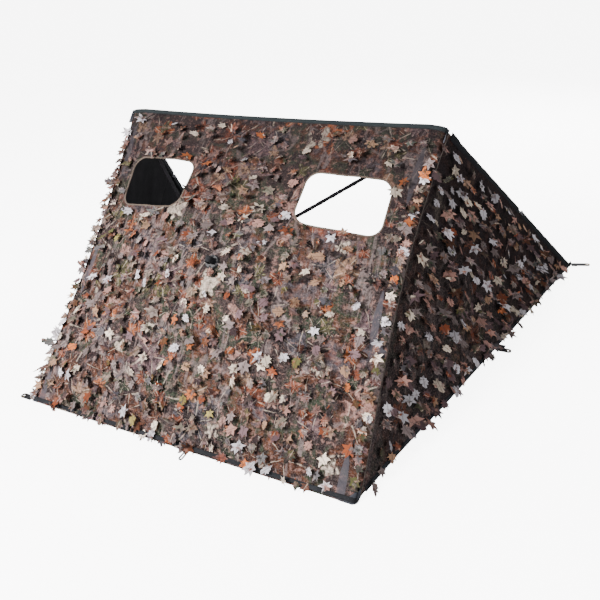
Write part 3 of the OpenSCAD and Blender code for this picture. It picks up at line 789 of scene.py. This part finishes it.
def scatter(width, length, spacing, seed, jitter=0.42):
    """Rows of spots with every other row shifted, and each moved a little."""
    rng = np.random.default_rng(seed)
    rows, columns = int(length / spacing[1]), int(width / spacing[0])
    v, u = np.meshgrid((np.arange(rows) + 0.5) / rows * length, (np.arange(columns) + 0.5) / columns * width,
                       indexing="ij")
    u = u + (np.arange(rows)[:, None] % 2 - 0.5) * 0.5 * spacing[0]
    u, v = (a.ravel() + rng.uniform(-jitter, jitter, a.size) * s for a, s in zip((u, v), spacing))
    return u, v, rng


def front_leaves():
    u, v, rng = scatter(FRONT_W, SLOPE_L, (0.056, 0.055), 21)
    u = u - HALF_W
    keep = (~in_window(u, v, 0.009)) & (v > 0.012) & (v < SLOPE_L - 0.05) & (np.abs(u) < HALF_W - 0.004)
    keep &= np.hypot(u, v - HUB_Y) > 0.045
    smoother_top = (v > SLOPE_L - 0.24) & (rng.random(len(u)) < 0.4)
    keep &= ~smoother_top
    keep &= (np.abs(np.abs(u) - BAND_X) > 0.028) | (np.sin(11 * v + 1) < 0.35)
    u, v = u[keep], v[keep]
    turn = math.pi + rng.normal(0, 1.0, len(u))
    sectors = sector_of(u, v)
    made = {}
    for k, sector in enumerate(SECTORS):
        mine = sectors == sector
        spots = list(zip(u[mine], v[mine], turn[mine]))
        # painted shade: these leaves darken towards the ridge, like the cloth under them
        made[sector] = leaves(f"leaves_front_{sector}", spots, panel_point, FRONT_LEAVES, 31 + k,
                              shade_dimmer=lambda v: 1 - 0.5 * float(smooth((v - 0.75) / 0.5)))
        bend_with_hub(made[sector])
    return made


def smooth_edge(u, v):
    """The front cloth near its sides, without the turn down to the seam."""
    lift = SEAM_DEPTH * np.clip((np.abs(u) - (HALF_W - SEAM_TURN)) / SEAM_TURN, 0, 1) ** 8
    return panel_point(u, v, lift)


def edge_leaves():
    """Leaves that stand out past the side seams and hang over the lower hem."""
    rng = np.random.default_rng(77)
    spots = [(x, rng.uniform(0.012, 0.03), math.pi + rng.normal(0, 0.45)) for x in np.arange(-0.70, 0.71, 0.047)
             if rng.random() < 0.38]
    low = leaves("leaves_lower_hem", spots, panel_point, FRONT_LEAVES, 78, tilt=(0.0, 0.25))
    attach(low, "front")
    for side, name in SIDES:
        heights = np.arange(0.05, SLOPE_L - 0.12, 0.034)
        spots = [(side * (HALF_W - rng.uniform(0.018, 0.034)), y + rng.uniform(-0.01, 0.01),
                  -side * (math.pi / 2 + rng.normal(0.5, 0.45))) for y in heights]
        row = leaves(f"leaves_seam_{name}", spots, smooth_edge, FRONT_LEAVES, 80 + side, tilt=(0.1, 0.55))
        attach(row, "front")


def ridge_tape():
    x = np.linspace(-HALF_W + 0.003, HALF_W - 0.003, 121)
    tape = tape_on("ridge_tape", panel_point, x, np.full_like(x, SLOPE_L - 0.004), 0.021, 0.007, 0.0, [BINDING])
    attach(tape, "front")
    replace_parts(tape, "ridge_binding")


def lower_hem_tape():
    x = np.linspace(-HALF_W + 0.004, HALF_W - 0.004, 121)
    tape = tape_on("lower_hem_tape", panel_point, x, np.full_like(x, 0.0085), 0.017, 0.0045, 0.0, [HEM])
    tape.data.transform(Matrix.Translation((0, 0, max(0.0, 0.0003 - min(v.co.z for v in tape.data.vertices)))))
    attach(tape, "front")
    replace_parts(tape, "front_hem")


def window_tapes():
    for side, name in SIDES:
        ring = rounded_window(0.002, 140)
        mid_z = lambda u, v: panel_point(u, v, -CLOTH_T / 2)
        tape = tape_on(f"window_tape_{name}", mid_z, side * ring[:, 0], ring[:, 1], 0.0075, 0.0046, 0.0,
                       [WINDOW_TAPE], closed=True)
        cuts = split_front(tape)
        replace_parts(next(iter(cuts.values())), f"window_binding_{name}")


def side_seams():
    """The piping along the side seams."""
    y = np.linspace(GROUND_Y + 0.004, SLOPE_L - 0.006, 90)
    a = np.linspace(0, math.tau, 10, endpoint=False)
    round_cord = np.stack([0.0026 * np.cos(a), 0.0026 * np.sin(a)], -1)
    for side, name in SIDES:
        path = panel_point(np.full_like(y, side * (HALF_W - 0.0005)), y, 0.0005)
        piping = tube_along(f"seam_piping_{name}", path, ACROSS, OUT, round_cord, [PIPING])
        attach(piping, "front")
        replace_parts(piping, f"seam_band_{name}")


def corner_pockets():
    """Pouches of slate cloth sewn behind the corners, each domed over an arm's tip."""
    leg, deep = 0.064, 0.027
    s, q = np.meshgrid(np.linspace(0.02, 1, 16), np.linspace(0, 1, 21), indexing="ij")
    for rise, y0 in (("top", SLOPE_L - 0.004), ("bottom", 0.024)):
        for side, name in SIDES:
            way = -1 if rise == "top" else 1
            x = side * (HALF_W - 0.004 - leg * s * (1 - q))
            y = y0 + way * leg * s * q
            dome = np.sin(math.pi * q) ** 0.7 * np.clip(s / 0.42, 0, 1) ** 0.7
            z = -0.0035 - (deep - 0.0045) * dome + 0.0006 * np.sin(q * 40) * dome
            points = [raised(slant(x, y, height), 0.0008) for height in (z, z + 0.0016)]
            pocket = sheet_mesh(f"corner_pocket_{rise}_{name}", *points, 16, 21, np.stack([x, y], -1), [PATCH, PATCH])
            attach(pocket, "front")
        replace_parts(pocket, f"{rise}_corner_pockets")


def corner_patches():
    """Small slate triangles that bind the front panel's lower corners."""
    s, q = np.meshgrid(np.linspace(0.03, 1, 8), np.linspace(0, 1, 9), indexing="ij")
    for side, name in SIDES:
        x = side * (HALF_W - 0.001 - 0.048 * s * (1 - q))
        y = 0.004 + 0.055 * s * q
        points = [raised(panel_point(x, y, lift), 0.0006) for lift in (0.0052, 0.0034)]
        patch = sheet_mesh(f"corner_patch_{name}", *points, 8, 9, np.stack([x, y], -1), [PATCH, PATCH])
        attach(patch, "front")


# ---- pieces of the wings ----

def bend_wing(obj, side, name, part):
    """Bakes the piece's transform into its mesh; the hinge points, at the seam for the inner half and at the crease
    for the outer, are worked out but not used.
    """
    middle = (GROUND_Y + SLOPE_L) / 2
    if part == "inner":
        start, end, bodies = 0.004, 0.05, ("front", f"wing_{name}")
    else:
        start, end, bodies = CREASE - 0.02, CREASE + 0.02, (f"wing_{name}", f"wing_tip_{name}")
    start, end = (tuple(wing_place(side, x, middle, 0)) for x in (start, end))
    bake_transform(obj)


def wing_cloth(side, name):
    rows = 70
    made = []
    for part, x0, x1, columns in (("inner", 0.0, WING_SPLIT, 60), ("outer", WING_SPLIT, WING_L - 0.045, 70)):
        share, x = np.meshgrid(np.linspace(0, 1, rows), np.linspace(x0, x1, columns), indexing="ij")
        low = wing_low(x) + 0.006
        y = low + share * (SLOPE_L - 0.012 - low)
        outside, inside = (raised(wing_point(side, x, y, lift), 0.0012) for lift in (0.0, -CLOTH_T))
        uv = np.stack([x + 5 + side, y], -1)
        # the wing cloth takes the shaded copy of the print, with its painted shade
        cloth = sheet_mesh(f"wing_cloth_{part}_{name}", outside, inside, rows, columns, uv, [CAMO_SHADED, BLACK_CLOTH])
        if side < 0:
            cloth.data.flip_normals()
        bend_wing(cloth, side, name, part)
        made.append(cloth)
    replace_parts(made[0], f"wing_cloth_{name}")
    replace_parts(made[1], f"tip_cloth_{name}")
    return made


def wing_leaves(side, name):
    u, v, rng = scatter(WING_L, SLOPE_L, (0.058, 0.052), 50 + side, 0.24)
    keep = (v > wing_low(u) + 0.004) & (v < SLOPE_L - 0.045) & (u > 0.012) & (u < WING_L - 0.09)
    u, v = u[keep], v[keep]
    turn = math.pi + rng.normal(0, 0.75, len(u))
    place = lambda a, b, lift=0.0: wing_point(side, side * a, b, lift)
    made = []
    for k, (part, mine) in enumerate((("inner", u < WING_SPLIT), ("outer", u >= WING_SPLIT))):
        spots = list(zip(side * u[mine], v[mine], turn[mine]))
        # painted shade: the wing's leaves are dimmed to 0.58 for the shade that the wing stands in
        group = leaves(f"leaves_wing_{part}_{name}", spots, place, WING_LEAVES, 60 + 2 * side + k, tilt=(0.2, 0.9),
                       roll=-0.55 * side, size=1.04, plain_share=0.75, shade_dimmer=lambda v: 0.58)
        bend_wing(group, side, name, part)
        made.append(group)
    return made


def keep_above(obj, ground):
    co = np.empty(len(obj.data.vertices) * 3)
    obj.data.vertices.foreach_get("co", co)
    co[2::3] = np.maximum(co[2::3], ground)
    obj.data.vertices.foreach_set("co", co)


def tab_roots(side, name):
    """Folded straps that hold the wing's two stake tabs to its hem."""
    for kind, x, turn in (("middle", CREASE * 1.072, 0.0), ("back", WING_L - 0.010, 17.0)):
        out = np.array([side * math.cos(math.radians(turn)), math.sin(math.radians(turn)), 0])
        wide = np.array([-out[1], out[0], 0])
        foot = wing_place(side, x, wing_low(x), 0.0)
        foot[2] = 0
        shape = [(-0.002, 0.016), (0.0035, 0.0125), (0.0065, 0.007), (0.011, 0.0046), (0.020, 0.0042),
                 (0.034, 0.0042)]
        path = np.array([foot + out * a + np.array([0, 0, b]) for a, b in shape])
        along = unit(np.gradient(path, axis=0))
        strap = tube_along(f"tab_strap_{kind}_{name}", path, wide, np.cross(along, wide), flat_tape(0.026, 0.003),
                           [HEM])
        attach(strap, f"wing_tip_{name}")


def wing_edges(side, name):
    """The pole sleeve along the back edge and the hem along the ground, each in two lengths."""
    angle = np.linspace(0, math.tau, 18, endpoint=False)
    body = {"inner": f"wing_{name}", "outer": f"wing_tip_{name}"}
    normal = wing_place(side, 0, 0, 1) - wing_place(side, 0, 0, 0)
    for part, old, reach, hem_reach in (
            ("inner", "wing", (0.016, CREASE - 0.018), (0.018, CREASE - 0.002)),
            ("outer", "tip", (CREASE + 0.018, WING_L - 0.001), (CREASE + 0.002, WING_L - 0.004))):
        x = np.linspace(*reach, 60)
        profile = np.stack([0.0178 * np.cos(angle), 0.0066 * np.sin(angle) * (1 + 0.12 * np.cos(angle) ** 2)], -1)
        full = smooth((x - 0.072) / 0.03)        # flat beside the corner pocket, round over the pole
        path = wing_place(side, x, POLE_Y - 0.001 + 0.0008 * np.sin(x * 60), 0.0012 - 0.007 * full)
        sleeve = tube_along(f"pole_sleeve_{part}_{name}", path, UP_SLOPE, (0.2 + 0.8 * full)[:, None] * normal,
                            profile, [SLEEVE])
        hem_x = np.linspace(*hem_reach, 60)
        hem_y = wing_low(hem_x) + 0.0125
        hem_path = wing_point(side, hem_x, hem_y)
        hem_across = np.cross(normal, unit(np.gradient(hem_path, axis=0)))
        hem = tube_along(f"wing_hem_{part}_{name}", hem_path, hem_across, normal, flat_tape(0.022, 0.0046), [HEM])
        for piece, kind in ((sleeve, "sleeve"), (hem, "hem")):
            keep_above(piece, 0.0004)
            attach(piece, body[part])
            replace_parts(piece, f"{old}_{kind}_{name}")


# ---- the arms' sleeves ----

def arm_sleeve(corner):
    """The thin black cloth tube over the middle of a hub arm, a little loose on its rod."""
    rod = frame["nodes"]["arm_rod_" + corner]
    points = np.array([rod.matrix_world @ v.co for v in rod.data.vertices])
    middle = points.mean(axis=0)
    axis = np.linalg.svd(points - middle, full_matrices=False)[2][0]
    axis *= np.sign(axis[2])
    reach = (points - middle) @ axis
    t = np.linspace(reach.min() + 0.09, reach.max() - 0.09, 120)
    across = np.cross(axis, OUT)
    across /= np.linalg.norm(across)
    up = np.cross(axis, across)
    loose = 1 + 0.07 * np.sin(95 * t + np.cos(31 * t)) + 0.05 * np.sin(210 * t + 1)
    loose[[0, -1]] = 0.82
    angle = np.linspace(0, math.tau, 14, endpoint=False)
    ring = 0.0072 * np.stack([np.cos(angle), np.sin(angle)], -1)
    sleeve = tube_along("arm_sleeve_" + corner, middle + np.outer(t, axis), np.outer(loose, across),
                        np.outer(loose, up), ring, [BLACK_CLOTH])
    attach(sleeve, "arm_" + corner)


# ---- stage, light and camera ----

def set_camera():
    """A camera in front of the right wing, above the ridge, at the photograph's viewing angle."""
    yaw, pitch, roll = (math.radians(a) for a in (28.4, 30.5, -4.7))
    right = Vector((math.cos(yaw), math.sin(yaw), 0))
    ahead = Vector((-math.sin(yaw), math.cos(yaw), 0))
    forward = ahead * math.cos(pitch) - Vector((0, 0, 1)) * math.sin(pitch)
    up = ahead * math.sin(pitch) + Vector((0, 0, 1)) * math.cos(pitch)
    right, up = right * math.cos(roll) + up * math.sin(roll), up * math.cos(roll) - right * math.sin(roll)
    camera = bpy.data.cameras.new("camera")
    camera.sensor_width, camera.lens = 36, 37.5
    obj = bpy.data.objects.new("camera", camera)
    bpy.context.collection.objects.link(obj)
    turn = Matrix((right, up, -forward)).transposed().to_4x4()
    obj.matrix_world = Matrix.Translation((1.315, -1.315 - CENTRE_Y, 1.65)) @ turn
    bpy.context.scene.camera = obj


def soft_light(name, place, towards, size, power, colour=(1, 1, 1)):
    light = bpy.data.lights.new(name, "AREA")
    light.shape, light.size, light.energy, light.color = "DISK", size, power, colour
    obj = bpy.data.objects.new(name, light)
    bpy.context.collection.objects.link(obj)
    turn = (Vector(towards) - Vector(place)).to_track_quat("-Z", "Y")
    obj.matrix_world = Matrix.Translation(place) @ turn.to_matrix().to_4x4()


def set_stage():
    floor = new_mesh("floor", [(-40, -40, 0), (40, -40, 0), (40, 40, 0), (-40, 40, 0)], [(0, 1, 2, 3)], [])
    g = Graph("pale_floor")
    floor.data.materials.append(g.finish((0.9, 0.9, 0.9, 1), 0.9, Emission_Color=(1, 1, 1, 1), Emission_Strength=7.0))
    bpy.ops.mesh.primitive_uv_sphere_add(radius=70, segments=48, ring_count=24)
    backdrop = bpy.context.object
    backdrop.name = backdrop.data.name = "backdrop"
    backdrop.data.materials.append(floor.data.materials[0])
    backdrop.visible_shadow = backdrop.visible_transmission = False
    for stage in (floor, backdrop):
        stage.visible_diffuse = stage.visible_glossy = False
    floor.location.z = -0.001
    world = bpy.data.worlds.new("studio")
    bpy.context.scene.world = world
    world.use_nodes = True
    nodes, links = world.node_tree.nodes, world.node_tree.links
    place, parts, fade = (nodes.new(f"ShaderNode{k}") for k in ("TexCoord", "SeparateXYZ", "ValToRGB"))
    links.new(place.outputs["Generated"], parts.inputs[0])
    links.new(parts.outputs[2], fade.inputs[0])
    links.new(fade.outputs[0], nodes["Background"].inputs[0])
    fade.color_ramp.elements[0].position, fade.color_ramp.elements[1].position = 0.0, 0.9
    fade.color_ramp.elements[0].color, fade.color_ramp.elements[1].color = (0.3, 0.3, 0.31, 1), (0.9, 0.9, 0.92, 1)
    nodes["Background"].inputs[1].default_value = 0.8
    soft_light("key", (-1.8, -4.0, 3.4), (0, 0, 0.4), 1.2, 640, (1.0, 0.97, 0.96))
    soft_light("back", (0.6, 4.2, 2.6), (0, 0.3, 0.3), 1.6, 260)
    soft_light("side", (3.6, -2.6, 1.3), (0.9, 0, 0.4), 0.8, 85)


# ---- the scene ----

set_camera()
cad_materials()
cloths = front_cloth()
front_leaf_groups = front_leaves()
edge_leaves()
ridge_tape()
lower_hem_tape()
window_tapes()
side_seams()
corner_pockets()
corner_patches()
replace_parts(cloths["top"], "front_panel_cloth", "hub_patch")
for wing_side, wing_name in SIDES:
    wing_cloth(wing_side, wing_name)
    wing_leaves(wing_side, wing_name)
    wing_edges(wing_side, wing_name)
    tab_roots(wing_side, wing_name)
set_stage()
for corner in ("top_left", "top_right", "bottom_left", "bottom_right"):
    arm_sleeve(corner)
